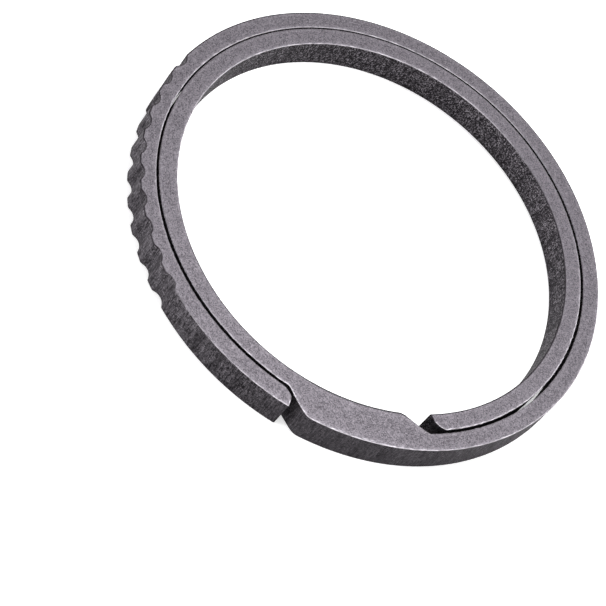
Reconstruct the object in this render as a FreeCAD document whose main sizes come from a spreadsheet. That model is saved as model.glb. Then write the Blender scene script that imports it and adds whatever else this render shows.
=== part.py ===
"""Side-pushing split key ring: one flat titanium bar cut as a ring with a long slit.

A solid bridge joins two arms that lie one inside the other. The outer arm runs from the
bridge's right end over the top to a free tip beside the bridge's left end, and the inner
arm runs the other way round. Both bend, so each is divided into rigid sections that meet
at flexure planes.

Millimetres and degrees. The ring lies flat on Z = 0 with its centre on the Z axis, and
angles run anticlockwise from +X, seen from +Z.
"""
import FreeCAD, Part
import math
import os
import Sketcher

FLAT = FreeCAD.Vector(0, 0, 1)
HERE = FreeCAD.Vector(0, 0, 0)
REACH = 0.02  # an edge this near a corner is the corner's

SIZES = (
    # alias, value, what it is
    ("bore_radius", 13.5, "radius of the hole, to the inner arm's wall"),
    ("inner_arm_width", 1.15, "radial width of the inner arm"),
    ("slit_width", 0.2, "slit between the two arms"),
    ("outer_arm_width", 1.15, "radial width of the outer arm"),
    ("plate_thickness", 2.2, "thickness of the plate that the ring is cut from"),
    ("edge_break", 0.06, "tumbled break along the outer and the inner edges"),
    ("flexure_gap", 0.06, "room between two sections, which their bending needs"),
    ("inner_root_angle", 277.5, "where the inner arm leaves the bridge"),
    ("bridge_angle", 40.5, "arc of the bridge, to where the outer arm leaves it"),
    ("step_foot_angle", 279.2, "foot of the bridge's slope beside the outer tip"),
    ("step_run_angle", 6.5, "arc that the slope takes to reach the outer edge"),
    ("step_foot_fillet", 0.3, "hollow rounding at the slope's foot"),
    ("step_crest_fillet", 0.55, "rounding at the slope's crest"),
    ("ramp_foot_angle", 316.2, "foot of the bridge's slope beside the inner tip"),
    ("ramp_run_angle", 6.4, "arc that this slope takes to reach the bore"),
    ("ramp_foot_fillet", 0.35, "hollow rounding at the foot"),
    ("ramp_crest_fillet", 0.7, "rounding at the crest"),
    ("tip_gap", 0.32, "gap between the outer tip and the bridge, along the circle"),
    ("tip_shoulder_rise", 0.4, "height of the outer tip's slanted face"),
    ("tip_lean_angle", 0.25, "arc that the rest of its end face leans"),
    ("tip_corner_fillet", 0.25, "rounding of the outer tip's slit corner"),
    ("tip_shoulder_fillet", 0.4, "rounding of the outer tip's shoulder"),
    ("mouth_angle", 7.8, "open mouth between the bridge's ramp and the inner tip"),
    ("nose_rise", 0.65, "height at which the inner tip's end face turns"),
    ("nose_lean_angle", 1.1, "arc that the face leans up to there"),
    ("nose_slant_angle", 1.9, "arc that it leans from there to the slit"),
    ("nose_fillet", 0.5, "rounding where it turns"),
    ("nose_corner_fillet", 0.25, "rounding of the inner tip's slit corner"),
    ("grip_first_angle", 181.0, "first grip notch on the outer arm"),
    ("grip_pitch_angle", 6.95, "pitch of the grip notches"),
    ("grip_depth", 0.3, "depth of a notch"),
    ("grip_radius", 0.75, "radius of the cutter that makes a notch"),
)
PLAIN_SECTIONS = 7  # of the outer arm, between the bridge and the grip
NOTCHES_PER_SECTION = 5
GRIP_SECTIONS = 2
INNER_SECTIONS = 10
OUTER_NAMES = (
    "outer_arm_root", "outer_arm_right", "outer_arm_upper_right", "outer_arm_right_of_top",
    "outer_arm_top", "outer_arm_left_of_top", "outer_arm_upper_left",
    "outer_arm_grip_upper", "outer_arm_grip_lower", "outer_arm_tip",
)
INNER_NAMES = (
    "inner_arm_root", "inner_arm_lower_left", "inner_arm_left", "inner_arm_upper_left",
    "inner_arm_left_of_top", "inner_arm_top", "inner_arm_upper_right", "inner_arm_right",
    "inner_arm_lower_right", "inner_arm_tip",
)

doc = FreeCAD.newDocument("split_key_ring")
sheet = doc.addObject("Spreadsheet::Sheet", "Sizes")
for row, (alias, value, note) in enumerate(SIZES, start=1):
    sheet.set(f"A{row}", note)
    sheet.set(f"B{row}", str(value))
    sheet.setAlias(f"B{row}", alias)
doc.recompute()

# Radii, as expressions on the sheet
BORE = "Sizes.bore_radius"
SLIT_IN = f"({BORE} + Sizes.inner_arm_width)"
SLIT_OUT = f"({SLIT_IN} + Sizes.slit_width)"
EDGE = f"({SLIT_OUT} + Sizes.outer_arm_width)"
CLEAR = f"({EDGE} + Sizes.outer_arm_width)"  # past the outer edge, for cuts
HOLE = f"({BORE} - Sizes.inner_arm_width)"  # inside the bore, for cuts
TOP = "Sizes.plate_thickness"
BREAK = "Sizes.edge_break"

# Angles, as expressions on the sheet
INNER_ROOT = "Sizes.inner_root_angle"
OUTER_ROOT = f"({INNER_ROOT} + Sizes.bridge_angle - 360)"
STEP_FOOT = "Sizes.step_foot_angle"
RAMP_FOOT = "Sizes.ramp_foot_angle"
RAMP_CREST = f"({RAMP_FOOT} - Sizes.ramp_run_angle)"
NOSE = f"({RAMP_CREST} + Sizes.mouth_angle - 360)"
GRIP_START = "(Sizes.grip_first_angle - Sizes.grip_pitch_angle / 2)"
GRIP_SPAN = f"({NOTCHES_PER_SECTION} * Sizes.grip_pitch_angle)"
GRIP_END = f"({GRIP_START} + {GRIP_SECTIONS} * {GRIP_SPAN})"


def value(expression):
    """The number that an expression on the sheet gives now."""
    return float(sheet.evalExpression(expression))


def arc_angle(length, radius):
    """Degrees that a length takes along a circle."""
    return f"({length} / {radius} * 180 / pi)"


def flexure_angle(radius):
    """Half a flexure gap, as an angle at a radius."""
    return arc_angle("Sizes.flexure_gap / 2", radius)


def slope_angle(radius):
    """Angle of the bridge's slope beside the outer tip, at a radius."""
    share = f"(({radius} - {SLIT_IN}) / ({EDGE} - {SLIT_IN}))"
    return f"({STEP_FOOT} + Sizes.step_run_angle * {share})"


def origin_plane(body, role):
    """One of a body's own origin planes."""
    return next(f for f in body.Origin.OriginFeatures if f.Role == role)


def new_sketch(body, name, role):
    """An empty sketch on an origin plane."""
    sketch = body.newObject("Sketcher::SketchObject", name)
    sketch.AttachmentSupport = (origin_plane(body, role), [""])
    sketch.MapMode = "FlatFace"
    return sketch


def pin(sketch, edge, end, across, up):
    """Holds a point of a sketch at bound distances from its origin."""
    for kind, expression in (("DistanceX", across), ("DistanceY", up)):
        if expression is not None:
            number = sketch.addConstraint(
                Sketcher.Constraint(kind, -1, 1, edge, end, value(expression))
            )
            sketch.setExpression(f"Constraints[{number}]", expression)


def draw_outline(sketch, corners):
    """A closed outline. A corner is (across, up, bulge): bulge True joins it to the next
    corner by an arc about the origin, and then the next one's "across" isn't pinned."""
    spots = [FreeCAD.Vector(value(a), value(u), 0) for a, u, _ in corners]
    count = len(corners)
    for n, (_, _, bulge) in enumerate(corners):
        start, end = spots[n], spots[(n + 1) % count]
        if bulge:
            first, last = (math.atan2(p.y, p.x) for p in (start, end))
            circle = Part.Circle(HERE, FLAT, start.Length)
            sketch.addGeometry(Part.ArcOfCircle(circle, min(first, last), max(first, last)))
            sketch.addConstraint(Sketcher.Constraint("Coincident", n, 3, -1, 1))
        else:
            sketch.addGeometry(Part.LineSegment(start, end))

    def port(n, at_start):
        """The point number of edge n's start or end."""
        start, end = spots[n], spots[(n + 1) % count]
        turned = corners[n][2] and math.atan2(end.y, end.x) < math.atan2(start.y, start.x)
        return 1 if at_start != turned else 2

    for n, (across, up, _) in enumerate(corners):
        before = (n - 1) % count
        sketch.addConstraint(
            Sketcher.Constraint("Coincident", before, port(before, False), n, port(n, True))
        )
        pin(sketch, n, port(n, True), None if corners[before][2] else across, up)


def polar(radius, angle, start, bulge=False):
    """A corner given by its radius and angle, in the frame of a body turned to start."""
    turn = f"(({angle} - {start}) * 1 deg)"
    return f"{radius} * cos{turn}", f"{radius} * sin{turn}", bulge


def swept_bar(name, inner, outer, start, end, break_inner, break_outer):
    """A piece of the bar: its section, swept about the ring's axis between two angles."""
    body = doc.addObject("PartDesign::Body", name)
    body.Label = name
    sketch = new_sketch(body, f"{name}_section", "XZ_Plane")
    corners = []
    for radius, broken, sign in ((inner, break_inner, "+"), (outer, break_outer, "-")):
        ends = [("0", BREAK), (TOP, f"{TOP} - {BREAK}")]
        ends = ends if sign == "-" else ends[::-1]
        for n, (level, eased) in enumerate(ends):
            if not broken:
                corners.append((radius, level, False))
                continue
            pair = [(f"{radius} {sign} {BREAK}", level, False), (radius, eased, False)]
            corners += pair if n == 0 else pair[::-1]
    draw_outline(sketch, corners)
    sweep = body.newObject("PartDesign::Revolution", f"{name}_sweep")
    sweep.Profile = sketch
    sweep.ReferenceAxis = (sketch, ["V_Axis"])
    sweep.setExpression("Angle", f"({end} - {start}) * 1 deg")
    sketch.Visibility = False
    doc.recompute()
    if body.Shape.BoundBox.YMin < -1e-3:
        sweep.Reversed = True
    body.Placement = FreeCAD.Placement(HERE, FreeCAD.Rotation(FLAT, value(start)))
    body.setExpression("Placement.Rotation.Angle", f"{start} * 1 deg")
    doc.recompute()
    return body


def cut_through(body, name, corners):
    """Cuts an outline out of a body, through the whole plate."""
    sketch = new_sketch(body, f"{name}_outline", "XY_Plane")
    draw_outline(sketch, corners)
    before = body.Shape.Volume
    cut = body.newObject("PartDesign::Pocket", name)
    cut.Profile = sketch
    cut.Type = "ThroughAll"
    cut.Midplane = True
    sketch.Visibility = False
    doc.recompute()
    if not body.Shape.Volume < before:
        raise RuntimeError(f"{name} cuts nothing")
    return cut


def upright_edges(body, radius, angle, start):
    """Names of a body's upright edges near a radius and angle."""
    turn = math.radians(value(angle) - value(start))
    spot = FreeCAD.Vector(value(radius) * math.cos(turn), value(radius) * math.sin(turn), 0)
    shape = body.Tip.Shape
    found = []
    for number, edge in enumerate(shape.Edges, start=1):
        low, high = edge.Vertexes[0].Point, edge.Vertexes[-1].Point
        flat = math.hypot(high.x - low.x, high.y - low.y)
        near = math.hypot(low.x - spot.x, low.y - spot.y) < REACH
        if near and flat < 1e-6 and abs(high.z - low.z) > 1e-3:
            found.append(f"Edge{number}")
    if not found:
        raise RuntimeError(f"{body.Label} has no upright edge there")
    return found


def round_corner(body, name, radius, angle, start, size):
    """Rounds a body's upright edge near a radius and angle."""
    base = body.Tip
    edges = upright_edges(body, radius, angle, start)
    fillet = body.newObject("PartDesign::Fillet", name)
    fillet.Base = (base, edges)
    fillet.setExpression("Radius", size)
    doc.recompute()


def break_rims(body, radii):
    """Breaks a body's top and bottom edges that lie along the given radii, and what runs on
    from them smoothly."""
    names = []
    for number, edge in enumerate(body.Tip.Shape.Edges, start=1):
        middle = edge.valueAt((edge.FirstParameter + edge.LastParameter) / 2)
        flat = abs(edge.Vertexes[0].Point.z - edge.Vertexes[-1].Point.z) < 1e-6
        along = any(abs(math.hypot(middle.x, middle.y) - value(r)) < 1e-4 for r in radii)
        if flat and along:
            names.append(f"Edge{number}")
    base = body.Tip
    rims = body.newObject("PartDesign::Chamfer", f"{body.Label}_rims")
    rims.Base = (base, names)
    rims.setExpression("Size", BREAK)
    doc.recompute()


def make_bridge():
    """The solid web between the two roots, with a slope beside each arm's free tip."""
    start = f"({INNER_ROOT} + {flexure_angle(BORE)})"
    end = f"({OUTER_ROOT} + 360 - {flexure_angle(EDGE)})"
    body = swept_bar("bridge", BORE, EDGE, start, end, False, False)
    crest = f"({STEP_FOOT} + Sizes.step_run_angle)"
    cut_through(body, "bridge_step", (
        polar(SLIT_IN, f"({start} - 2)", start, True),
        polar(SLIT_IN, STEP_FOOT, start),
        polar(EDGE, crest, start),
        polar(CLEAR, crest, start),
        polar(CLEAR, f"({start} - 2)", start),
    ))
    cut_through(body, "bridge_ramp", (
        polar(SLIT_OUT, RAMP_FOOT, start, True),
        polar(SLIT_OUT, f"({end} + 2)", start),
        polar(HOLE, f"({end} + 2)", start),
        polar(HOLE, RAMP_CREST, start),
        polar(BORE, RAMP_CREST, start),
    ))
    round_corner(body, "step_foot", SLIT_IN, STEP_FOOT, start, "Sizes.step_foot_fillet")
    round_corner(body, "step_crest", EDGE, crest, start, "Sizes.step_crest_fillet")
    round_corner(body, "ramp_foot", SLIT_OUT, RAMP_FOOT, start, "Sizes.ramp_foot_fillet")
    round_corner(body, "ramp_crest", BORE, RAMP_CREST, start, "Sizes.ramp_crest_fillet")
    break_rims(body, (BORE, EDGE))
    return body


def outer_boundaries():
    """Angles of the planes between the outer arm's sections, from its root to its tip."""
    planes = [
        f"({OUTER_ROOT} + ({GRIP_START} - {OUTER_ROOT}) * {n} / {PLAIN_SECTIONS})"
        for n in range(PLAIN_SECTIONS)
    ]
    planes += [f"({GRIP_START} + {n} * {GRIP_SPAN})" for n in range(GRIP_SECTIONS + 1)]
    return planes


def inner_boundaries():
    """Angles of the planes between the inner arm's sections, from its root to its tip."""
    return [
        f"({INNER_ROOT} - ({INNER_ROOT} - {NOSE}) * {n} / {INNER_SECTIONS})"
        for n in range(INNER_SECTIONS)
    ]


def cut_grip(body, start):
    """Five notches along a section's outer edge."""
    sketch = new_sketch(body, f"{body.Label}_notch_outline", "XY_Plane")
    centre = f"({EDGE} - Sizes.grip_depth + Sizes.grip_radius)"
    turn = f"((Sizes.grip_first_angle - {GRIP_START} - {flexure_angle(EDGE)}) * 1 deg)"
    across, up = f"{centre} * cos{turn}", f"{centre} * sin{turn}"
    middle = FreeCAD.Vector(value(across), value(up), 0)
    sketch.addGeometry(Part.Circle(middle, FLAT, value("Sizes.grip_radius")))
    pin(sketch, 0, 3, across, up)
    number = sketch.addConstraint(
        Sketcher.Constraint("Radius", 0, value("Sizes.grip_radius"))
    )
    sketch.setExpression(f"Constraints[{number}]", "Sizes.grip_radius")
    before = body.Shape.Volume
    notch = body.newObject("PartDesign::Pocket", f"{body.Label}_notch")
    notch.Profile = sketch
    notch.Type = "ThroughAll"
    notch.Midplane = True
    sketch.Visibility = False
    doc.recompute()
    one = before - body.Shape.Volume
    row = body.newObject("PartDesign::PolarPattern", f"{body.Label}_notches")
    row.Originals = [notch]
    row.Axis = (sketch, ["N_Axis"])
    row.Mode = "Spacing"
    row.setExpression("Offset", "Sizes.grip_pitch_angle * 1 deg")
    row.Occurrences = NOTCHES_PER_SECTION
    body.Tip = row
    doc.recompute()
    cut_away = before - body.Shape.Volume
    if abs(cut_away - NOTCHES_PER_SECTION * one) > one / 2:
        raise RuntimeError(f"{body.Label} lacks notches")


def shape_outer_tip(body, start, end):
    """Cuts the outer tip's end face: slanted beside the bridge's slope, then near radial."""
    shoulder = f"({SLIT_OUT} + Sizes.tip_shoulder_rise)"
    foot_angle = f"({slope_angle(SLIT_OUT)} - {arc_angle('Sizes.tip_gap', SLIT_OUT)})"
    shoulder_angle = f"({slope_angle(shoulder)} - {arc_angle('Sizes.tip_gap', shoulder)})"
    under = f"({SLIT_OUT} - Sizes.tip_shoulder_rise)"
    cut_through(body, "outer_tip_face", (
        polar(under, foot_angle, start),
        polar(SLIT_OUT, foot_angle, start),
        polar(shoulder, shoulder_angle, start),
        polar(EDGE, end, start),
        polar(CLEAR, f"({end} + 3)", start),
        polar(under, f"({end} + 3)", start),
    ))
    round_corner(body, "tip_corner", SLIT_OUT, foot_angle, start, "Sizes.tip_corner_fillet")
    round_corner(
        body, "tip_shoulder", shoulder, shoulder_angle, start, "Sizes.tip_shoulder_fillet"
    )


def outer_tip_angle():
    """Angle of the outer tip's sharp outer corner."""
    shoulder = f"({SLIT_OUT} + Sizes.tip_shoulder_rise)"
    gap = arc_angle("Sizes.tip_gap", shoulder)
    return f"({slope_angle(shoulder)} - {gap} + Sizes.tip_lean_angle)"


def shape_inner_tip(body, start):
    """Cuts the inner tip's nose: it leans a little, then slants away towards the slit."""
    turn = f"({BORE} + Sizes.nose_rise)"
    turn_angle = f"({start} + Sizes.nose_lean_angle)"
    corner_angle = f"({turn_angle} + Sizes.nose_slant_angle)"
    cut_through(body, "inner_tip_nose", (
        polar(BORE, start, start),
        polar(turn, turn_angle, start),
        polar(SLIT_IN, corner_angle, start),
        polar(CLEAR, corner_angle, start),
        polar(CLEAR, f"({start} - 3)", start),
        polar(BORE, f"({start} - 3)", start),
    ))
    round_corner(body, "nose_turn", turn, turn_angle, start, "Sizes.nose_fillet")
    round_corner(body, "nose_corner", SLIT_IN, corner_angle, start, "Sizes.nose_corner_fillet")


def make_outer_arm():
    """The outer arm's sections, from the bridge round to the free tip."""
    planes = outer_boundaries()
    half = flexure_angle(EDGE)
    bodies = []
    for n, name in enumerate(OUTER_NAMES):
        start = f"({planes[n]} + {half})"
        last = n == len(OUTER_NAMES) - 1
        end = outer_tip_angle() if last else f"({planes[n + 1]} - {half})"
        body = swept_bar(name, SLIT_OUT, EDGE, start, end, False, True)
        if PLAIN_SECTIONS <= n < PLAIN_SECTIONS + GRIP_SECTIONS:
            cut_grip(body, start)
        if last:
            shape_outer_tip(body, start, end)
        bodies.append(body)
    return bodies


def make_inner_arm():
    """The inner arm's sections, from the bridge round to the free tip."""
    planes = inner_boundaries()
    half = flexure_angle(BORE)
    bodies = []
    for n, name in enumerate(INNER_NAMES):
        last = n == len(INNER_NAMES) - 1
        start = NOSE if last else f"({planes[n + 1]} + {half})"
        end = f"({planes[n]} - {half})"
        body = swept_bar(name, BORE, SLIT_IN, start, end, True, False)
        if last:
            shape_inner_tip(body, start)
        bodies.append(body)
    return bodies


def check_document():
    """Stops if any feature failed to build."""
    for item in doc.Objects:
        if {"Invalid", "Error"} & set(item.State):
            raise RuntimeError(f"{item.Name} failed: {item.State}")


def write_steps(bodies):
    """Writes each piece to a STEP file of its own."""
    os.makedirs("parts", exist_ok=True)
    for body in bodies:
        shape = body.Shape
        if shape.isNull() or not shape.isValid() or len(shape.Solids) != 1:
            raise RuntimeError(f"{body.Label} isn't one sound solid")
        shape.exportStep(f"parts/{body.Label}.step")
        print(f"{body.Label}: {shape.Volume:.3f} mm3")


pieces = [make_bridge(), *make_outer_arm(), *make_inner_arm()]
doc.recompute()
check_document()
write_steps(pieces)
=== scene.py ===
"""A key ring cut in one piece from titanium plate.

A thick bridge carries two thin spring arms, one inside the other, with a narrow sawn
slit between them. The arms are built as short lengths of bar that meet end to end.
Lengths are in metres. Angles are in degrees, anticlockwise from +X seen from above.
"""

from __future__ import annotations

import logging
import math
from collections.abc import Mapping, Sequence
from dataclasses import dataclass, fields, replace
from enum import Enum
from typing import Any, Union

import bpy
from mathutils import Matrix, Vector


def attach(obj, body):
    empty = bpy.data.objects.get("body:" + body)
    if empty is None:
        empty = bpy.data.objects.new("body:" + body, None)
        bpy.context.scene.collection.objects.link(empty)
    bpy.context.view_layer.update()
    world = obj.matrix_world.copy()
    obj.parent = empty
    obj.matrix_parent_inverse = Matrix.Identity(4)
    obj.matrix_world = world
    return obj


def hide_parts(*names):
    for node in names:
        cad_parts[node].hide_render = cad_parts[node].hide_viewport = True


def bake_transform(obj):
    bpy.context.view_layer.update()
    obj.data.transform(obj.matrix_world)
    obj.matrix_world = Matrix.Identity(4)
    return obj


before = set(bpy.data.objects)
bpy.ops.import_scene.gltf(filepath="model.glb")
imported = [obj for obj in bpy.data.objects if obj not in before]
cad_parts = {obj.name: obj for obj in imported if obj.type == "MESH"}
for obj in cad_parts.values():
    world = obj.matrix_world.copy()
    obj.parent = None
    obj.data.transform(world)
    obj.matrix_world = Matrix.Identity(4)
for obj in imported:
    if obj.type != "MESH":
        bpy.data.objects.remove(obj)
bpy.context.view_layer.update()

MM = 0.001
RADIAN = math.pi / 180.0

# What each length of bar stores on its points for the finish to read: its place on the
# straightened bar, 1 on walls and 0 on faces, 1 at an edge, and 1 or -1 for out or in.
UNROLLED = "unrolled"
WALL = "wall"
RIM = "rim"
FACING = "facing"

log = logging.getLogger("key_ring")
Value = Union["Wire", float, int, bool, str, Sequence[float], bpy.types.ID]


# ---------------------------------------------------------------- node expressions


class Wire:
    """An output socket that sums can be written on."""

    def __init__(self, graph: Graph, socket: bpy.types.NodeSocket) -> None:
        """Keeps the graph that the socket belongs to."""
        self.graph = graph
        self.socket = socket

    def __add__(self, other: Value) -> Wire:
        """Sum."""
        return self.graph.math("ADD", self, other)

    def __radd__(self, other: Value) -> Wire:
        """Sum, with the number first."""
        return self.graph.math("ADD", other, self)

    def __sub__(self, other: Value) -> Wire:
        """Difference."""
        return self.graph.math("SUBTRACT", self, other)

    def __rsub__(self, other: Value) -> Wire:
        """Difference, with the number first."""
        return self.graph.math("SUBTRACT", other, self)

    def __mul__(self, other: Value) -> Wire:
        """Product."""
        return self.graph.math("MULTIPLY", self, other)

    def __rmul__(self, other: Value) -> Wire:
        """Product, with the number first."""
        return self.graph.math("MULTIPLY", other, self)

    def __truediv__(self, other: Value) -> Wire:
        """Quotient."""
        return self.graph.math("DIVIDE", self, other)

    def __rtruediv__(self, other: Value) -> Wire:
        """Quotient, with the number first."""
        return self.graph.math("DIVIDE", other, self)

    def __pow__(self, other: Value) -> Wire:
        """Power."""
        return self.graph.math("POWER", self, other)

    def __gt__(self, other: Value) -> Wire:
        """1 where this is the greater, else 0."""
        return self.graph.math("GREATER_THAN", self, other)

    def __lt__(self, other: Value) -> Wire:
        """1 where this is the smaller, else 0."""
        return self.graph.math("LESS_THAN", self, other)

    def unit(self) -> Wire:
        """Held between 0 and 1."""
        return self.graph.math("MINIMUM", self.graph.math("MAXIMUM", self, 0.0), 1.0)

    def root(self) -> Wire:
        """Square root, of nothing below 0."""
        return self.graph.math("SQRT", self.graph.math("MAXIMUM", self, 0.0))

    def eased(self, low: float = 0.0, high: float = 1.0) -> Wire:
        """Goes from 0 to 1 as this goes from low to high, with soft ends.

        Args:
            low: where the result is still 0.
            high: where the result has become 1.

        Returns:
            The eased value.
        """
        t = ((self - low) * (1.0 / (high - low))).unit()
        return t * t * (3.0 - 2.0 * t)

    def toward(self, other: Value, share: Value) -> Wire:
        """This at share 0, other at share 1.

        Args:
            other: the value at share 1.
            share: how far to go.

        Returns:
            The value in between.
        """
        return self + (self.graph.number(other) - self) * share


class Graph:
    """A node tree under construction."""

    def __init__(self, tree: bpy.types.NodeTree) -> None:
        """Starts on an empty tree."""
        self.tree = tree
        tree.nodes.clear()

    def node(
        self,
        kind: str,
        settings: Mapping[str, Any] | None = None,
        sockets: Mapping[str | int, Value] | None = None,
    ) -> bpy.types.Node:
        """Adds a node.

        Args:
            kind: the node's type.
            settings: its properties, which are set first.
            sockets: values or links for its inputs, by name or number.

        Returns:
            The new node.
        """
        made = self.tree.nodes.new(kind)
        for name, value in (settings or {}).items():
            setattr(made, name, value)
        for key, value in (sockets or {}).items():
            target = made.inputs[key]
            if isinstance(value, Wire):
                self.tree.links.new(value.socket, target)
            else:
                target.default_value = value
        return made

    def take(
        self,
        kind: str,
        settings: Mapping[str, Any] | None = None,
        sockets: Mapping[str | int, Value] | None = None,
        output: str | int = 0,
    ) -> Wire:
        """Adds a node and gives one of its outputs.

        Args:
            kind: the node's type.
            settings: its properties, which are set first.
            sockets: values or links for its inputs.
            output: the output wanted, by name or number.

        Returns:
            That output.
        """
        return Wire(self, self.node(kind, settings, sockets).outputs[output])

    def math(self, operation: str, *operands: Value) -> Wire:
        """One step of arithmetic on numbers.

        Args:
            operation: the Math node's operation.
            operands: wires or plain numbers.

        Returns:
            The result.
        """
        sockets = dict(enumerate(operands))
        return self.take("ShaderNodeMath", {"operation": operation}, sockets)

    def number(self, value: Value) -> Wire:
        """A wire stays itself, and a plain number becomes a Value node."""
        if isinstance(value, Wire):
            return value
        made = self.tree.nodes.new("ShaderNodeValue")
        made.outputs[0].default_value = value
        return Wire(self, made.outputs[0])

    def vector(self, x: Value, y: Value, z: Value) -> Wire:
        """Three numbers as one vector."""
        return self.take("ShaderNodeCombineXYZ", None, {0: x, 1: y, 2: z})

    def parts(self, vector: Wire) -> tuple[Wire, Wire, Wire]:
        """A vector's three numbers."""
        split = self.node("ShaderNodeSeparateXYZ", None, {0: vector})
        return tuple(Wire(self, split.outputs[i]) for i in range(3))

    def noise(self, place: Wire, detail: float = 2.0, roughness: float = 0.5) -> Wire:
        """Cloudy noise, from 0 to 1 with a grain of one unit.

        Args:
            place: where the noise is read, already scaled.
            detail: how many finer layers are added.
            roughness: how strong the finer layers are.

        Returns:
            The noise.
        """
        sockets = {"Vector": place, "Scale": 1.0, "Detail": detail, "Roughness": roughness}
        return self.take("ShaderNodeTexNoise", {"noise_dimensions": "3D"}, sockets, "Fac")

    def grains(self, place: Wire) -> Wire:
        """A number from 0 to 1 that is different in each cell of a loose honeycomb.

        Args:
            place: where the cells are read, with cells of about one unit.

        Returns:
            The cell's number.
        """
        sockets = {"Vector": place, "Scale": 1.0}
        cell = self.take("ShaderNodeTexVoronoi", {"feature": "F1"}, sockets, "Color")
        return self.parts(cell)[0]

    def blend(self, share: Value, low: Value, high: Value) -> Wire:
        """A colour between two.

        Args:
            share: 0 for low and 1 for high.
            low: the first colour.
            high: the second colour.

        Returns:
            The mixed colour.
        """
        sockets = {0: share, 6: low, 7: high}
        return self.take("ShaderNodeMix", {"data_type": "RGBA"}, sockets, 2)


# ---------------------------------------------------------------- places on the ring


@dataclass(frozen=True)
class SlitPath:
    """Where round the ring the slit pinches, and where it sways outwards."""

    open_below: float = 0.0
    tight_from: float = 125.0
    tight_to: float = 165.0
    open_above: float = 245.0
    sway_at: float = 213.0
    sway_reach: float = 58.0


def middle_of_ring() -> float:
    """The radius at which lengths along the ring are counted."""
    return 14.75 * MM


def polar(radius: float, angle: float, height: float = 1.1 * MM) -> Vector:
    """A point on the ring.

    Args:
        radius: distance from the ring's axis.
        angle: degrees anticlockwise from +X.
        height: distance above the floor.

    Returns:
        The point.
    """
    turned = angle * RADIAN
    return Vector((radius * math.cos(turned), radius * math.sin(turned), height))


# ---------------------------------------------------------------- the bar


@dataclass(frozen=True)
class BarSizes:
    """One length of the ring's bar. Each field is an input of the bar's node tree."""

    start: float
    sweep: float
    inner_radius: float
    outer_radius: float
    thickness: float = 2.2 * MM
    edge_break: float = 0.06 * MM
    slit_edge_break: float = 0.025 * MM
    inner_wall_in_slit: float = 0.0
    outer_wall_in_slit: float = 0.0
    stations: int = 160
    columns: int = 12
    rows: int = 12
    # the bridge's two slopes
    sloped: float = 0.0
    slope_rise: float = 1.35 * MM
    step_foot: float = 279.2
    step_run: float = 6.5
    step_foot_ease: float = 0.11
    step_crest_ease: float = 0.26
    ramp_crest: float = 309.8
    ramp_run: float = 6.4
    ramp_crest_ease: float = 0.3
    ramp_foot_ease: float = 0.13
    # a free end
    free: float = 0.0
    end_break: float = 0.04 * MM
    inner_corner: float = 0.05 * MM
    outer_corner: float = 0.05 * MM
    lean_at_inner: float = 0.0
    lean_at_shoulder: float = 0.0
    lean_at_outer: float = 0.0
    shoulder: float = 0.5 * MM
    shoulder_ease: float = 0.0
    # finger notches
    notches: int = 0
    first_notch: float = 181.0
    notch_pitch: float = 6.95
    notch_depth: float = 0.29 * MM
    notch_radius: float = 0.74 * MM
    notch_ease: float = 0.2 * MM
    # the saw's marks
    closing: float = 0.056 * MM
    slit_sway: float = 0.085 * MM
    slit_raggedness: float = 0.085 * MM
    wall_relief: float = 0.012 * MM


@dataclass(frozen=True)
class Walls:
    """The bar's two walls at one place along it."""

    inner_in_slit: Wire
    outer_in_slit: Wire
    inner_edge: Wire
    outer_edge: Wire


@dataclass(frozen=True)
class Rounded:
    """A point of the straight bar after its edges are rounded."""

    x: Wire
    y: Wire
    z: Wire
    side: Wire
    level: Wire


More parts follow.
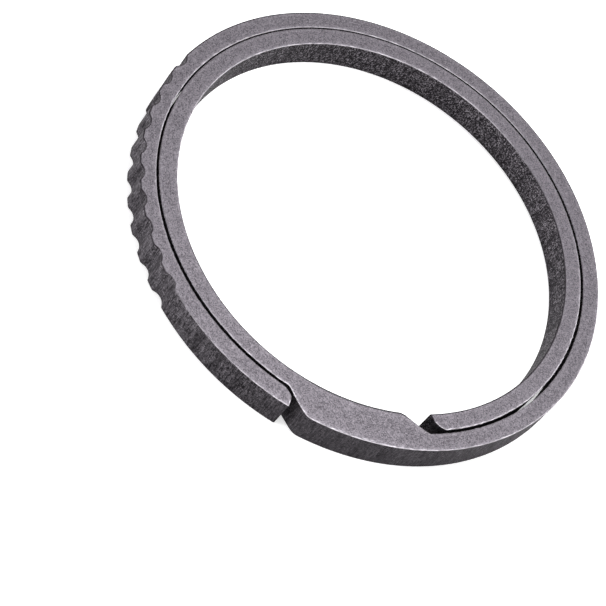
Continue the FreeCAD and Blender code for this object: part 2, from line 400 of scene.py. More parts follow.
class BarTree:
    """The node tree that bends a box into a length of the ring's bar."""

    EDGE_LINES = 2.0
    CROWD = 1.27
    LEAN_FADE = 2.0 * MM
    RAG_GRAIN = (0.22 * MM, 1.6 * MM)
    RELIEF_GRAIN = (0.16 * MM, 0.9 * MM)
    RAG_SEED = 3.0
    RELIEF_SEED = 9.0
    RAG_WHERE_OPEN = 1.2
    RIM_REACH = 0.3 * MM
    SHARP = 38.0 * RADIAN
    TINY = 1e-6
    SLIT = SlitPath()

    def __init__(self) -> None:
        """Makes the tree and its named inputs."""
        self.tree = bpy.data.node_groups.new("ring_bar", "GeometryNodeTree")
        self.graph = Graph(self.tree)
        self.identifiers: dict[str, str] = {}
        for item in fields(BarSizes):
            kind = "NodeSocketInt" if item.type == "int" else "NodeSocketFloat"
            self._add_input(item.name, kind)
        self._add_input("material", "NodeSocketMaterial")
        self.tree.interface.new_socket("Geometry", in_out="OUTPUT", socket_type="NodeSocketGeometry")
        self._inputs = self.graph.node("NodeGroupInput")
        inner, outer = self._size("inner_radius"), self._size("outer_radius")
        self.width = outer - inner
        turn = self.graph.math("ABSOLUTE", self._size("sweep")) * RADIAN
        self.length = turn * ((inner + outer) * 0.5)
        self._build()

    def _add_input(self, name: str, kind: str) -> None:
        """Adds one named input and remembers its identifier."""
        title = name.replace("_", " ").capitalize()
        socket = self.tree.interface.new_socket(title, in_out="INPUT", socket_type=kind)
        self.identifiers[name] = socket.identifier

    def _size(self, name: str) -> Wire:
        """The input called name."""
        title = name.replace("_", " ").capitalize()
        return Wire(self.graph, self._inputs.outputs[title])

    def _build(self) -> None:
        """Adds every node, from the box to the output."""
        g = self.graph
        place = g.take("GeometryNodeInputPosition")
        along, across, up = (part + 0.5 for part in g.parts(place))
        x = self._along(along)
        walls = self._walls(x)
        y = self._spaced(across, "columns", self.width, walls.inner_edge, walls.outer_edge)
        edge = walls.inner_edge.toward(walls.outer_edge, across)
        thick = self._size("thickness")
        z = self._spaced(up, "rows", thick, edge, edge)
        rounded = self._rounded(x, y, z, walls, edge)
        x_corner, y_corner = self._cornered(rounded.x, rounded.y)
        x_end = self._leaned(x_corner, y_corner)
        angle = self._size("start") + self._size("sweep") * x_end / self.length
        turned = angle * RADIAN
        arc = turned * middle_of_ring()
        radius = self._radius(angle, arc, y_corner, rounded.z, walls)
        steepness = (rounded.side / g.math("MAXIMUM", rounded.side + rounded.level, self.TINY)).unit()
        stored = self._stored(
            self._box(),
            {
                UNROLLED: g.vector(arc, radius, rounded.z),
                WALL: steepness,
                RIM: self._rim(x, y, z, steepness),
                FACING: (y_corner > self.width * 0.5) * 2.0 - 1.0,
            },
        )
        across_ring, up_ring = radius * g.math("COSINE", turned), radius * g.math("SINE", turned)
        self._finish(stored, g.vector(across_ring, up_ring, rounded.z))

    def _box(self) -> Wire:
        """The box that becomes the bar, one unit each way."""
        counts = zip(("Vertices X", "Vertices Y", "Vertices Z"), ("stations", "columns", "rows"))
        sockets = {socket: self._size(name) + 1.0 for socket, name in counts}
        return self.graph.take("GeometryNodeMeshCube", None, {"Size": (1.0, 1.0, 1.0), **sockets})

    def _crowded(self, steps: Wire) -> Wire:
        """0 on the edge and 1 two grid lines in, with the line between near the edge."""
        return (steps / self.EDGE_LINES).unit() ** self.CROWD

    def _along(self, share: Wire) -> Wire:
        """Where the stations stand, with two of them in a free end's rounded edge.

        Args:
            share: the place along the box, from 0 to 1.

        Returns:
            The distance from the bar's start.
        """
        stations, free, end_break = (self._size(n) for n in ("stations", "free", "end_break"))
        line = share * stations
        plain = (line / (stations - free * self.EDGE_LINES)).unit()
        plain = plain * (self.length - end_break * free)
        return plain + free * end_break * (1.0 - self._crowded(stations - line))

    def _spaced(self, share: Wire, lines: str, span: Wire, low: Wire, high: Wire) -> Wire:
        """Where grid lines stand across a span, crowded at its two edges.

        Args:
            share: the place across the box, from 0 to 1.
            lines: the input with the number of steps.
            span: how far it is across.
            low: how wide the first edge's rounding is.
            high: how wide the last edge's rounding is.

        Returns:
            The distance from the span's start.
        """
        steps = self._size(lines)
        line = share * steps
        inside = ((line - self.EDGE_LINES) / (steps - self.EDGE_LINES * 2.0)).unit()
        inside = inside * (span - low - high)
        return low * self._crowded(line) + inside + high * (1.0 - self._crowded(steps - line))

    def _slope(self, angle: Wire, foot: str, run: str, low_ease: str, high_ease: str) -> Wire:
        """A straight slope from 0 to 1 with rounded foot and crest.

        Args:
            angle: the place on the ring, in degrees.
            foot: the input that says where the slope begins.
            run: the input that says how many degrees it takes.
            low_ease: the input with the rounding at 0.
            high_ease: the input with the rounding at 1.

        Returns:
            The slope's height, from 0 to 1.
        """
        g = self.graph
        t = (angle - self._size(foot)) / self._size(run)
        capped = g.math("SMOOTH_MIN", t, 1.0, self._size(high_ease))
        return g.math("SMOOTH_MAX", capped, 0.0, self._size(low_ease))

    def _step(self, angle: Wire) -> Wire:
        """The bridge's slope beside the outer tip, from 0 to 1."""
        return self._slope(angle, "step_foot", "step_run", "step_foot_ease", "step_crest_ease")

    def _ramp(self, angle: Wire) -> Wire:
        """The bridge's slope beside the inner tip, from 0 to 1."""
        return self._slope(angle, "ramp_crest", "ramp_run", "ramp_crest_ease", "ramp_foot_ease")

    def _walls(self, x: Wire) -> Walls:
        """Which walls stand in the slit, where the edges are hardly broken.

        Args:
            x: the distance from the bar's start.

        Returns:
            The two walls there.
        """
        sloped = self._size("sloped")
        angle = self._size("start") + self._size("sweep") * x / self.length
        ramp, step = sloped * self._ramp(angle), sloped * self._step(angle)
        in_slit = self.graph.math("MAXIMUM", self._size("inner_wall_in_slit"), ramp)
        out_slit = self._size("outer_wall_in_slit") * (1.0 - step)
        edge, slit_edge = self._size("edge_break"), self._size("slit_edge_break")
        return Walls(
            inner_in_slit=in_slit,
            outer_in_slit=out_slit,
            inner_edge=edge.toward(slit_edge, in_slit),
            outer_edge=edge.toward(slit_edge, out_slit),
        )

    def _rounded(self, x: Wire, y: Wire, z: Wire, walls: Walls, edge: Wire) -> Rounded:
        """Rounds the bar's edges.

        Args:
            x: the distance along the bar.
            y: the distance across it.
            z: the height.
            walls: the two walls there.
            edge: the rounding's height there.

        Returns:
            The moved point, and how much it lies in a side's and in a face's rounding.
        """
        g, free, end_break = self.graph, self._size("free"), self._size("end_break")
        low_y = (1.0 - y / walls.inner_edge).unit()
        high_y = (1.0 - (self.width - y) / walls.outer_edge).unit()
        low_z = (1.0 - z / edge).unit()
        high_z = (1.0 - (self._size("thickness") - z) / edge).unit()
        high_x = free * (1.0 - (self.length - x) / end_break).unit()
        side = low_y * low_y + high_y * high_y + high_x * high_x
        level = low_z * low_z + high_z * high_z
        pull = 1.0 - 1.0 / g.math("MAXIMUM", (side + level).root(), 1.0)
        return Rounded(
            x=x - pull * high_x * end_break,
            y=y + pull * (low_y * walls.inner_edge - high_y * walls.outer_edge),
            z=z + pull * (low_z - high_z) * edge,
            side=side,
            level=level,
        )

    def _cornered(self, x: Wire, y: Wire) -> tuple[Wire, Wire]:
        """Rounds a free end's two corners, seen from above.

        Args:
            x: the distance along the bar.
            y: the distance across it.

        Returns:
            The moved distances.
        """
        g = self.graph
        nearer_inside = y < self.width * 0.5
        corner = self._size("outer_corner").toward(self._size("inner_corner"), nearer_inside)
        to_wall = g.math("MINIMUM", y, self.width - y)
        ahead = self._size("free") * (1.0 - (self.length - x) / corner).unit()
        aside = (1.0 - to_wall / corner).unit()
        reach = (ahead * ahead + aside * aside).root()
        tuck = 1.0 - g.math("MAXIMUM", ahead, aside) / g.math("MAXIMUM", reach, self.TINY)
        tuck = tuck * (ahead > 0.0)
        inward = nearer_inside * 2.0 - 1.0
        return x - ahead * corner * tuck, y + aside * corner * tuck * inward

    def _leaned(self, x: Wire, y: Wire) -> Wire:
        """Leans a free end's face, with a turn at its shoulder.

        Args:
            x: the distance along the bar.
            y: the distance across it.

        Returns:
            The moved distance along the bar.
        """
        shoulder = self._size("shoulder")
        leans = (self._size("lean_at_" + n) for n in ("inner", "shoulder", "outer"))
        at_inner, at_shoulder, at_outer = leans
        near = at_inner + (at_shoulder - at_inner) * y / shoulder
        far = at_shoulder + (at_outer - at_shoulder) * (y - shoulder) / (self.width - shoulder)
        lean = self.graph.math("SMOOTH_MIN", near, far, self._size("shoulder_ease"))
        fade = ((x - self.length + self.LEAN_FADE) / self.LEAN_FADE).eased()
        return x + self._size("free") * fade * lean

    def _notch(self, angle: Wire) -> Wire:
        """How deep the finger notches cut into the outer wall at an angle."""
        g = self.graph
        first, pitch = self._size("first_notch"), self._size("notch_pitch")
        count, cutter = self._size("notches"), self._size("notch_radius")
        nearest = g.math("ROUND", (angle - first) / pitch)
        nearest = g.math("MAXIMUM", g.math("MINIMUM", nearest, count - 1.0), 0.0)
        off = (angle - first - nearest * pitch) * RADIAN * self._size("outer_radius")
        floor = cutter - self._size("notch_depth") - (cutter * cutter - off * off).root()
        left = g.math("SMOOTH_MIN", floor, 0.0, self._size("notch_ease"))
        return (count > 0.5) * (0.0 - left)

    def _slit(self, angle: Wire, arc: Wire, z: Wire) -> tuple[Wire, Wire]:
        """How the slit's walls stray from their circles.

        Args:
            angle: the place on the ring, in degrees.
            arc: the same as a length.
            z: the height.

        Returns:
            How far both walls sway outwards, and how far each nears the other.
        """
        g, slit = self.graph, self.SLIT
        full = self._size("closing")
        around = g.math("WRAP", angle, slit.open_below + 360.0, slit.open_below)
        closing = full * around.eased(slit.open_below, slit.tight_from)
        closing = closing * (1.0 - around.eased(slit.tight_to, slit.open_above))
        off = g.math("ABSOLUTE", around - slit.sway_at) / slit.sway_reach
        sway = self._size("slit_sway") * (1.0 - off).eased()
        grain = g.vector(arc / self.RAG_GRAIN[0], z / self.RAG_GRAIN[1], self.RAG_SEED)
        rag = (g.noise(grain, 3.0, 0.6) - 0.5) * self._size("slit_raggedness")
        rag = rag * (self.RAG_WHERE_OPEN - closing / full)
        return sway, closing + rag

    def _radius(self, angle: Wire, arc: Wire, y: Wire, z: Wire, walls: Walls) -> Wire:
        """The distance from the ring's axis.

        Args:
            angle: the place on the ring, in degrees.
            arc: the same as a length.
            y: the distance across the bar.
            z: the height.
            walls: the two walls there.

        Returns:
            The radius.
        """
        g, size = self.graph, self._size
        in_slit, out_slit = walls.inner_in_slit, walls.outer_in_slit
        rise = size("sloped") * size("slope_rise")
        sway, nearer = self._slit(angle, arc, z)
        grain = g.vector(arc / self.RELIEF_GRAIN[0], z / self.RELIEF_GRAIN[1], self.RELIEF_SEED)
        relief = g.noise(grain, 2.0, 0.6) * size("wall_relief")
        inner = size("inner_radius") + rise * self._ramp(angle)
        inner = inner + in_slit * (sway - nearer) + (1.0 - in_slit) * relief
        outer = size("outer_radius") + rise * self._step(angle)
        outer = outer + out_slit * (sway + nearer) - (1.0 - out_slit) * relief
        outer = outer - self._notch(angle)
        between = self.width - walls.inner_edge - walls.outer_edge
        share = ((y - walls.inner_edge) / between).unit()
        return inner + y + (outer - inner - self.width) * share

    def _rim(self, x: Wire, y: Wire, z: Wire, steepness: Wire) -> Wire:
        """1 at an edge, falling to 0 at the rim's reach from it.

        Args:
            x: the distance along the bar, before its edges are rounded.
            y: the distance across it.
            z: the height.
            steepness: 1 on a wall and 0 on a face.

        Returns:
            How near the edge is.
        """
        g = self.graph
        from_side = g.math("MINIMUM", y, self.width - y)
        to_end = (1.0 - self._size("free")) + (self.length - x)
        from_side = g.math("MINIMUM", from_side, to_end)
        from_face = g.math("MINIMUM", z, self._size("thickness") - z)
        from_edge = from_side.toward(from_face, steepness > 0.5)
        return 1.0 - (from_edge / self.RIM_REACH).unit()

    def _stored(self, box: Wire, values: Mapping[str, Wire]) -> Wire:
        """Stores what the finish reads on the box, before it moves.

        Args:
            box: the straight box.
            values: each attribute's value, by name.

        Returns:
            The box with its attributes.
        """
        for name, value in values.items():
            kind = "FLOAT_VECTOR" if name == UNROLLED else "FLOAT"
            box = self.graph.take(
                "GeometryNodeStoreNamedAttribute",
                {"data_type": kind, "domain": "POINT"},
                {"Geometry": box, "Name": name, "Value": value},
            )
        return box

    def _finish(self, box: Wire, place: Wire) -> None:
        """Moves the box to its place, turns its faces outwards and dresses it.

        Args:
            box: the straight box.
            place: where each of its points goes.
        """
        g = self.graph
        bent = g.take("GeometryNodeSetPosition", None, {"Geometry": box, "Position": place})
        anticlockwise = self._size("sweep") > 0.0
        faced = g.take("GeometryNodeFlipFaces", None, {"Mesh": bent, "Selection": anticlockwise})
        creased = g.take("GeometryNodeInputMeshEdgeAngle", None, None, 0) > self.SHARP
        smooth = g.take(
            "GeometryNodeSetShadeSmooth",
            {"domain": "EDGE"},
            {"Geometry": faced, "Selection": creased, "Shade Smooth": False},
        )
        whole = g.take("GeometryNodeRealizeInstances", None, {"Geometry": smooth})
        sockets = {"Geometry": whole, "Material": self._size("material")}
        dressed = g.take("GeometryNodeSetMaterial", None, sockets)
        g.node("NodeGroupOutput", None, {0: dressed})

    def bake(self, name: str, sizes: BarSizes, material: bpy.types.Material) -> bpy.types.Object:
        """Builds one length of bar as a plain mesh.

        Args:
            name: the piece's name.
            sizes: what the length of bar looks like.
            material: its finish.

        Returns:
            The piece, with no modifier left on it.
        """
        holder = bpy.data.objects.new(name, bpy.data.meshes.new(name + "_seed"))
        bpy.context.scene.collection.objects.link(holder)
        modifier = holder.modifiers.new("bar", "NODES")
        modifier.node_group = self.tree
        for item in fields(BarSizes):
            modifier[self.identifiers[item.name]] = getattr(sizes, item.name)
        modifier[self.identifiers["material"]] = material
        graph = bpy.context.evaluated_depsgraph_get()
        mesh = bpy.data.meshes.new_from_object(holder.evaluated_get(graph), depsgraph=graph)
        holder.modifiers.remove(modifier)
        mesh.name = name
        holder.data = mesh
        return holder


# ---------------------------------------------------------------- finishes


@dataclass(frozen=True)
class Tone:
    """One look of the metal: its colour and how rough it is."""

    colour: tuple[float, float, float, float]
    roughness: float


@dataclass(frozen=True)
class Grain:
    """One layer of the metal's texture: the size of its grains and how much it shows."""

    size: float
    strength: float


@dataclass(frozen=True)
class Surface:
    """Where a point of the metal lies, as the bar's tree stored it."""

    graph: Graph
    along: Wire
    radius: Wire
    height: Wire
    wall: Wire
    rim: Wire
    facing: Wire

    @classmethod
    def read(cls, graph: Graph) -> Surface:
        """Reads the bar's attributes.

        Args:
            graph: the material's nodes.

        Returns:
            The place.
        """
        unrolled = graph.take("ShaderNodeAttribute", {"attribute_name": UNROLLED}, None, "Vector")
        others = (
            graph.take("ShaderNodeAttribute", {"attribute_name": name}, None, "Fac")
            for name in (WALL, RIM, FACING)
        )
        return cls(graph, *graph.parts(unrolled), *others)

    def grain(self, size: float) -> Wire:
        """The place, counted in grains of a size."""
        return self.graph.vector(self.along / size, self.radius / size, self.height / size)

    def toward(self, angle: float) -> Wire:
        """1 at an angle on the ring, and -1 on the far side."""
        turned = self.along / middle_of_ring()
        return self.graph.math("COSINE", turned - angle * RADIAN)


@dataclass(frozen=True)
class TumbledTitanium:
    """Titanium plate: blasted faces, sawn walls, and edges scuffed by tumbling, with a painted
    highlight on edges that face towards 330 degrees and painted shade on edges that face away.
    """

    face_dark: Tone = Tone((0.044, 0.040, 0.0462, 1.0), 0.56)
    face_light: Tone = Tone((0.140, 0.129, 0.144, 1.0), 0.46)
    wall_dark: Tone = Tone((0.009, 0.008, 0.0095, 1.0), 0.74)
    wall_light: Tone = Tone((0.146, 0.134, 0.149, 1.0), 0.46)
    # bright edge tone: scuffs from tumbling and a painted highlight
    worn: Tone = Tone((0.42, 0.40, 0.43, 1.0), 0.36)
    grazing: tuple[float, float, float, float] = (0.7, 0.7, 0.7, 1.0)

    # the faces
    face_level: float = 0.445
    face_cloud: Grain = Grain(0.6 * MM, 0.3)
    face_speck: Grain = Grain(0.10 * MM, 1.0)
    face_fine: Grain = Grain(0.065 * MM, 0.7)
    face_rim: float = 0.22
    face_bump: float = 0.35

    # the walls
    # the walls sit darker than the faces: partly the sawn finish, partly painted shade
    wall_level_with_shade: float = 0.27
    wall_speck: Grain = Grain(0.11 * MM, 1.5)
    wall_fine: Grain = Grain(0.07 * MM, 1.3)
    streak: Grain = Grain(0.075 * MM, 1.5)
    streak_length: float = 0.65 * MM
    band: Grain = Grain(0.8 * MM, 0.5)
    speck_less_outside: float = 0.8
    fine_less_outside: float = 0.7
    smooth_at: float = 312.0
    smoothing: float = 0.55
    # painted light: the grip's outward walls made lighter around this angle
    grip_light_at: float = 231.0
    grip_lift: float = 0.10
    wall_bump: float = 0.8

    # the edges
    # the way that edges with the painted highlight face; edges facing the other way get painted shade
    painted_glint_toward: float = 330.0
    nick: tuple[float, float] = (0.5 * MM, 0.1 * MM)
    nick_strength: float = 1.9
    wear_at_edge: float = 1.1
    wear_needed: float = 0.35
    wear_kept_off_walls: float = 0.85
    # painted shade: a dark line on edges facing away from the light, weaker in the slit than on the
    # outer and inner rims
    outside_depth: float = 0.2 * MM
    edge_in_slit: float = 0.25
    edge_shade_outside: float = 0.6
    bump_height: float = 0.03 * MM

    def make(self, name: str) -> bpy.types.Material:
        """Builds the material.

        Args:
            name: the material's name.

        Returns:
            The material.
        """
        material = bpy.data.materials.new(name)
        material.use_nodes = True
        g = Graph(material.node_tree)
        metal = Surface.read(g)
        face, face_height = self._face(metal)
        wall, wall_height = self._wall(metal)
        wear_and_glint, edge = self._edges(metal)
        on_wall = metal.wall.eased(0.1, 0.6)

        face_colour = g.blend(face, self.face_dark.colour, self.face_light.colour)
        wall_colour = g.blend(wall, self.wall_dark.colour, self.wall_light.colour)
        colour = g.blend(on_wall, face_colour, wall_colour)
        # painted shade on edges that face away from the light
        colour = g.blend(edge, colour, self.wall_dark.colour)
        # scuffs and painted highlight on edges facing the light
        colour = g.blend(wear_and_glint, colour, self.worn.colour)
        face_rough = self._between(self.face_dark, self.face_light, face)
        wall_rough = self._between(self.wall_dark, self.wall_light, wall)
        rough = face_rough.toward(wall_rough, on_wall).toward(self.worn.roughness, wear_and_glint)
        relief = {
            "Strength": 1.0,
            "Distance": self.bump_height,
            "Height": face_height.toward(wall_height, on_wall),
        }
        sockets = {
            "Base Color": colour,
            "Metallic": 1.0,
            "Roughness": rough,
            "Specular Tint": self.grazing,
            "Normal": g.take("ShaderNodeBump", None, relief),
        }
        shader = g.take("ShaderNodeBsdfPrincipled", None, sockets)
        g.node("ShaderNodeOutputMaterial", None, {"Surface": shader})
        material.diffuse_color = self.face_light.colour
        return material

    def _face(self, metal: Surface) -> tuple[Wire, Wire]:
        """The blasted faces.

        Args:
            metal: the place on the metal.

        Returns:
            How light the face is, from 0 to 1, and its relief.
        """
        g = metal.graph
        cloud = g.noise(metal.grain(self.face_cloud.size), 3.0)
        speck = g.noise(metal.grain(self.face_speck.size), 2.0, 0.7)
        fine = g.grains(metal.grain(self.face_fine.size))
        light = self.face_level + (cloud - 0.5) * self.face_cloud.strength
        light = light + (speck - 0.5) * self.face_speck.strength
        light = light + (fine - 0.5) * self.face_fine.strength + metal.rim * self.face_rim
        return light.unit(), (speck + fine * 0.5) * self.face_bump

    def _wall(self, metal: Surface) -> tuple[Wire, Wire]:
        """The sawn walls: bright specks and fine streaks on dark, in darker and lighter bands, with
        painted light on the grip's outward walls.

        Args:
            metal: the place on the metal.

        Returns:
            How light the wall is, from 0 to 1, and its relief.
        """
        g = metal.graph
        width, long = self.streak.size, self.streak_length
        speck = g.noise(metal.grain(self.wall_speck.size), 3.0, 0.7)
        fine = g.grains(metal.grain(self.wall_fine.size))
        streak_place = g.vector(metal.along / width, metal.radius / width, metal.height / long)
        streak = g.noise(streak_place, 2.0, 0.6)
        band_place = g.vector(metal.along / self.band.size, 4.0, metal.height / (self.band.size * 8.0))
        band = g.noise(band_place, 2.0).eased(0.32, 0.5)

        outward = metal.facing > 0.0
        smooth = metal.toward(self.smooth_at).eased(0.7, 0.95) * outward
        # painted light on the outward walls of the grip
        grip_lit = metal.toward(self.grip_light_at).eased(0.8, 0.95) * outward
        coarse = 1.0 - self.smoothing * smooth
        speck_share = self.wall_speck.strength - self.speck_less_outside * outward
        fine_share = self.wall_fine.strength - self.fine_less_outside * outward
        cut = (speck - 0.5) * speck_share + (streak - 0.5) * self.streak.strength
        cut = cut + (fine ** 4.0 - 0.2) * fine_share
        light = (self.wall_level_with_shade + self.grip_lift * grip_lit + cut * coarse).unit()
        light = light * (1.0 - self.band.strength * coarse * (1.0 - band))
        return light, (speck + streak * 0.8 + fine * 0.5) * self.wall_bump

    def _edges(self, metal: Surface) -> tuple[Wire, Wire]:
        """The edges: scuffs from tumbling, kept only on edges that face towards 330 degrees as a
        painted highlight, and painted shade on edges that face away.

        Args:
            metal: the place on the metal.

        Returns:
            How worn it is, and how dark its edge is.
        """
        g = metal.graph
        long, fine = self.nick
        nick_place = g.vector(metal.along / long, metal.radius / fine, metal.height / fine)
        nicks = g.noise(nick_place, 3.0, 0.65)
        # how much an edge faces towards 330 degrees, the side the light comes from: lit above 0,
        # shaded below
        faces_painted_light = metal.facing * metal.toward(self.painted_glint_toward)
        # scuffs near the edge, kept only on the lit side: part real scuffing, part painted highlight
        wear_and_glint = metal.rim ** 3.0 * self.wear_at_edge - self.wear_needed
        wear_and_glint = (wear_and_glint + (nicks - 0.5) * self.nick_strength).unit() * faces_painted_light.eased(-0.1, 0.8)
        wear_and_glint = wear_and_glint * (1.0 - metal.wall.eased(0.55, 0.9) * self.wear_kept_off_walls)

        from_slit = g.math("ABSOLUTE", metal.radius - middle_of_ring())
        outside = (from_slit / self.outside_depth - 4.0).unit()
        # painted shade: a dark line along edges that face away from the light, stronger on the outer
        # and inner rims than in the slit
        edge = metal.rim.eased(0.6, 0.78) * (1.0 - faces_painted_light.eased(-0.2, 0.5))
        edge = edge * (self.edge_in_slit + self.edge_shade_outside * outside)
        return wear_and_glint, edge * (1.0 - metal.wall.eased(0.7, 1.0))

    @staticmethod
    def _between(low: Tone, high: Tone, share: Wire) -> Wire:
        """The roughness between two tones."""
        return low.roughness + share * (high.roughness - low.roughness)


# ---------------------------------------------------------------- the ring's parts


class Turn(Enum):
    """Which way an arm runs round the ring from the bridge."""

    ANTICLOCKWISE = 1
    CLOCKWISE = -1


@dataclass(frozen=True)
class FreeEnd:
    """The end of an arm, seen from above. Leans are degrees short of the arm's farthest point."""

    angle: float
    lean_at_inner: float
    lean_at_shoulder: float
    lean_at_outer: float
    shoulder: float
    shoulder_ease: float
    inner_corner: float
    outer_corner: float


@dataclass(frozen=True)
class Arm:
    """One spring arm, from the bridge round to its free end."""

    TIP_FINER = 1.5
    BEND_LIMIT = 16.0
    BEND_SHARE = 0.86

    turn: Turn
    inner_radius: float
    outer_radius: float
    planes: Sequence[float]
    sections: Sequence[str]
    tip: FreeEnd
    notched: range = range(0)
    notches: int = 0
    first_notch: float = 0.0
    step: float = 0.055 * MM

    def middle(self) -> float:
        """The radius of the arm's own centreline."""
        return (self.inner_radius + self.outer_radius) / 2.0

    def cuts(self) -> list[float]:
        """Where the lengths of bar meet: the bridge, each section's middle, and the tip."""
        inner = [(a + b) / 2.0 for a, b in zip(self.planes, self.planes[1:])]
        return [self.planes[0], *inner, self.tip.angle]

    def sizes(self, index: int) -> BarSizes:
        """The length of bar around one hinge.

        Args:
            index: which hinge, counted from the bridge.

        Returns:
            Its sizes.
        """
        first, last = self.cuts()[index : index + 2]
        span = abs(last - first) * RADIAN * self.middle()
        outer_arm = self.turn is Turn.ANTICLOCKWISE
        plain = BarSizes(
            start=first,
            sweep=last - first,
            inner_radius=self.inner_radius,
            outer_radius=self.outer_radius,
            inner_wall_in_slit=float(outer_arm),
            outer_wall_in_slit=float(not outer_arm),
            stations=round(span / self.step),
        )
        if index in self.notched:
            plain = replace(plain, notches=self.notches, first_notch=self.first_notch)
        if index == len(self.planes) - 1:
            plain = self._ended(plain)
        return plain

    def _ended(self, plain: BarSizes) -> BarSizes:
        """The last length of bar, with the arm's free end on it."""
        per_degree = RADIAN * self.middle()
        tip = self.tip
        return replace(
            plain,
            free=1.0,
            stations=round(plain.stations * self.TIP_FINER),
            inner_corner=tip.inner_corner,
            outer_corner=tip.outer_corner,
            lean_at_inner=-tip.lean_at_inner * per_degree,
            lean_at_shoulder=-tip.lean_at_shoulder * per_degree,
            lean_at_outer=-tip.lean_at_outer * per_degree,
            shoulder=tip.shoulder,
            shoulder_ease=tip.shoulder_ease,
        )

    def build(self, tree: BarTree, finish: bpy.types.Material) -> None:
        """Builds and dresses every length of bar, and hides the model's part that it stands in for.

        Args:
            tree: the node tree that makes the bar.
            finish: the metal's material.
        """
        cuts = self.cuts()
        for index, section in enumerate(self.sections):
            sizes = self.sizes(index)
            piece = tree.bake(f"{section}_bar", sizes, finish)
            self._bend(piece, cuts[index], self.planes[index], cuts[index + 1])
            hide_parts(section)
            log.info("%s: %d faces", piece.name, len(piece.data.polygons))

    def _bend(
        self,
        piece: bpy.types.Object,
        first: float,
        hinge: float,
        last: float,
    ) -> None:
        """Bakes a piece's place into its mesh. The ends of its bend about the hinge are worked out,
        but nothing uses them.

        Args:
            piece: the length of bar.
            first: the angle at which it starts.
            hinge: the angle of its hinge.
            last: the angle at which it ends.
        """
        reach = min(abs(last - hinge), self.BEND_LIMIT) * self.BEND_SHARE
        lead = min(abs(hinge - first), self.BEND_LIMIT) * self.BEND_SHARE
        way = self.turn.value
        start = polar(self.middle(), hinge - way * lead)
        end = polar(self.middle(), hinge + way * reach)
        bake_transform(piece)


@dataclass(frozen=True)
class Bridge:
    """The thick stretch that joins the two arms, between its step and its ramp."""

    start: float = 277.5
    end: float = 318.0
    inner_radius: float = 13.5 * MM
    slit_radius: float = 14.65 * MM
    stations: int = 260
    columns: int = 20

    def build(self, tree: BarTree, finish: bpy.types.Material) -> None:
        """Builds the bridge and makes it ride on its own body.

        Args:
            tree: the node tree that makes the bar.
            finish: the metal's material.
        """
        sizes = BarSizes(
            start=self.start,
            sweep=self.end - self.start,
            inner_radius=self.inner_radius,
            outer_radius=self.slit_radius,
            outer_wall_in_slit=1.0,
            sloped=1.0,
            stations=self.stations,
            columns=self.columns,
        )
        piece = tree.bake("bridge_bar", sizes, finish)
        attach(piece, "bridge")
        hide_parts("bridge")
        log.info("%s: %d faces", piece.name, len(piece.data.polygons))


def outer_arm() -> Arm:
    """The outer arm, which runs anticlockwise from the bridge's right end."""
    planes = [318.0, 349.4, 380.7, 412.1, 443.4, 474.8, 506.2, 537.525, 572.275, 607.025]
    names = "root right upper_right right_of_top top left_of_top upper_left grip_upper grip_lower tip"
    return Arm(
        turn=Turn.ANTICLOCKWISE,
        inner_radius=14.85 * MM,
        outer_radius=16.0 * MM,
        planes=planes,
        sections=["outer_arm_" + n for n in names.split()],
        notched=range(6, 10),
        notches=10,
        first_notch=541.0,
        tip=FreeEnd(
            angle=641.13,
            lean_at_inner=2.2,
            lean_at_shoulder=0.25,
            lean_at_outer=0.0,
            shoulder=0.4 * MM,
            shoulder_ease=0.25 * MM,
            inner_corner=0.30 * MM,
            outer_corner=0.09 * MM,
        ),
    )


def inner_arm() -> Arm:
    """The inner arm, which runs clockwise from the bridge's left end."""
    planes = [277.5, 245.5, 213.5, 181.5, 149.5, 117.6, 85.6, 53.6, 21.6, -10.4]
    names = "root lower_left left upper_left left_of_top top upper_right right lower_right tip"
    return Arm(
        turn=Turn.CLOCKWISE,
        inner_radius=13.5 * MM,
        outer_radius=14.65 * MM,
        planes=planes,
        sections=["inner_arm_" + n for n in names.split()],
        tip=FreeEnd(
            angle=-42.4,
            lean_at_inner=0.0,
            lean_at_shoulder=1.1,
            lean_at_outer=3.0,
            shoulder=0.65 * MM,
            shoulder_ease=0.2 * MM,
            inner_corner=0.08 * MM,
            outer_corner=0.25 * MM,
        ),
    )


# ---------------------------------------------------------------- studio


@dataclass(frozen=True)
class Softbox:
    """A square soft light that points at the ring, and stays out of the picture itself."""

    name: str
    direction: tuple[float, float, float]
    distance: float
    side: float
    power: float

    def place(self) -> None:
        """Hangs the light."""
        data = bpy.data.lights.new(self.name, "AREA")
        data.shape = "SQUARE"
        data.size = self.side
        data.energy = self.power
        lamp = bpy.data.objects.new(self.name, data)
        away = Vector(self.direction).normalized()
        lamp.location = away * self.distance
        lamp.rotation_mode = "QUATERNION"
        lamp.rotation_quaternion = away.to_track_quat("Z", "Y")
        lamp.visible_camera = False
        bpy.context.scene.collection.objects.link(lamp)


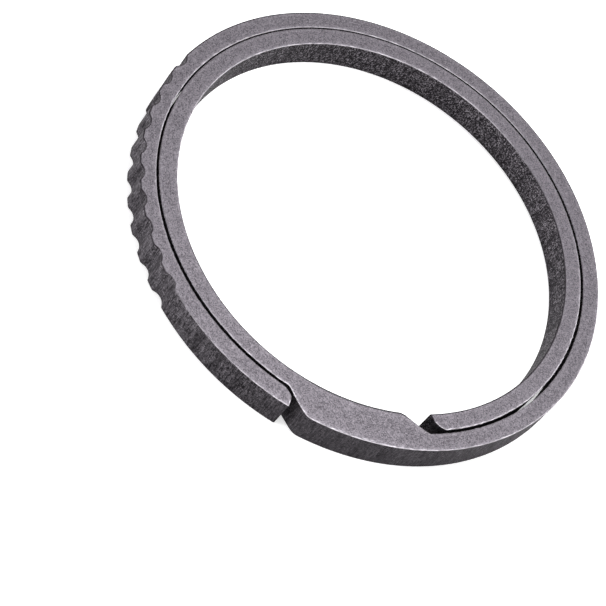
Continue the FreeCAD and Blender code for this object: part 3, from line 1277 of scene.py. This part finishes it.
@dataclass(frozen=True)
class Studio:
    """A pale floor, soft light all round, and the camera."""

    floor_side: float = 1.2
    floor_colour: tuple[float, float, float, float] = (0.88, 0.88, 0.88, 1.0)
    floor_roughness: float = 0.9
    floor_shine: float = 0.2
    floor_glow: float = 0.52
    sky: float = 0.95
    front_shade: float = 0.22
    front_fade: tuple[float, float] = (0.2, 0.9)
    left_shade: float = 0.35
    left_fade: tuple[float, float] = (0.1, 0.9)
    away: tuple[float, float, float] = (-0.0008, -0.6634, 0.7477)
    image_up: tuple[float, float, float] = (-0.6485, 0.5690, 0.5044)
    distance: float = 171.5 * MM
    lens: float = 160.35
    sensor: float = 36.0
    nearest: float = 10.0 * MM
    shift: tuple[float, float] = (-0.0972, -0.1038)
    softboxes: tuple[Softbox, ...] = (
        Softbox("key_right", (0.95, 0.05, 0.28), 0.30, 0.15, 0.36),
        Softbox("fill_left", (-0.75, -0.62, 0.10), 0.30, 0.05, 1.25),
        Softbox("overhead", (0.05, 0.42, 0.90), 0.090, 0.05, 0.088),
    )

    def build(self) -> None:
        """Builds all of it."""
        self._floor()
        self._sky()
        for softbox in self.softboxes:
            softbox.place()
        self._camera()

    def _floor(self) -> None:
        """Lays the floor."""
        half = self.floor_side / 2.0
        mesh = bpy.data.meshes.new("floor")
        corners = [(-half, -half, 0.0), (half, -half, 0.0), (half, half, 0.0), (-half, half, 0.0)]
        mesh.from_pydata(corners, [], [(0, 1, 2, 3)])
        material = bpy.data.materials.new("pale_floor")
        material.use_nodes = True
        g = Graph(material.node_tree)
        shader = g.take(
            "ShaderNodeBsdfPrincipled",
            None,
            {
                "Base Color": self.floor_colour,
                "Roughness": self.floor_roughness,
                "Specular IOR Level": self.floor_shine,
                "Emission Color": self.floor_colour,
                "Emission Strength": self.floor_glow,
            },
        )
        g.node("ShaderNodeOutputMaterial", None, {"Surface": shader})
        mesh.materials.append(material)
        floor = bpy.data.objects.new("floor", mesh)
        bpy.context.scene.collection.objects.link(floor)

    def _sky(self) -> None:
        """Lights the room evenly, with less light from where the camera stands."""
        world = bpy.data.worlds.new("soft_room")
        world.use_nodes = True
        g = Graph(world.node_tree)
        toward = g.take("ShaderNodeTexCoord", None, None, "Generated")
        aside, depth, _ = g.parts(toward)
        front = 1.0 - self.front_shade * (0.0 - depth).eased(*self.front_fade)
        left = 1.0 - self.left_shade * (0.0 - aside).eased(*self.left_fade)
        strength = self.sky * front * left
        sockets = {"Color": (1.0, 1.0, 1.0, 1.0), "Strength": strength}
        light = g.take("ShaderNodeBackground", None, sockets)
        g.node("ShaderNodeOutputWorld", None, {"Surface": light})
        bpy.context.scene.world = world

    def _camera(self) -> None:
        """Sets the camera up at its viewing angle."""
        data = bpy.data.cameras.new("camera")
        data.lens = self.lens
        data.sensor_width = self.sensor
        data.shift_x, data.shift_y = self.shift
        data.clip_start = self.nearest
        camera = bpy.data.objects.new("camera", data)
        back = Vector(self.away).normalized()
        up = Vector(self.image_up)
        up = (up - back * up.dot(back)).normalized()
        right = up.cross(back)
        turn = Matrix((right, up, back)).transposed().to_4x4()
        camera.matrix_world = Matrix.Translation(back * self.distance) @ turn
        bpy.context.scene.collection.objects.link(camera)
        bpy.context.scene.camera = camera
        bpy.context.scene.view_settings.view_transform = "Standard"


def main() -> None:
    """Builds the ring and its studio."""
    logging.basicConfig(level=logging.INFO, format="%(message)s")
    finish = TumbledTitanium().make("tumbled_titanium")
    tree = BarTree()
    Bridge().build(tree, finish)
    for arm in (outer_arm(), inner_arm()):
        arm.build(tree, finish)
    Studio().build()


if __name__ == "__main__":
    main()
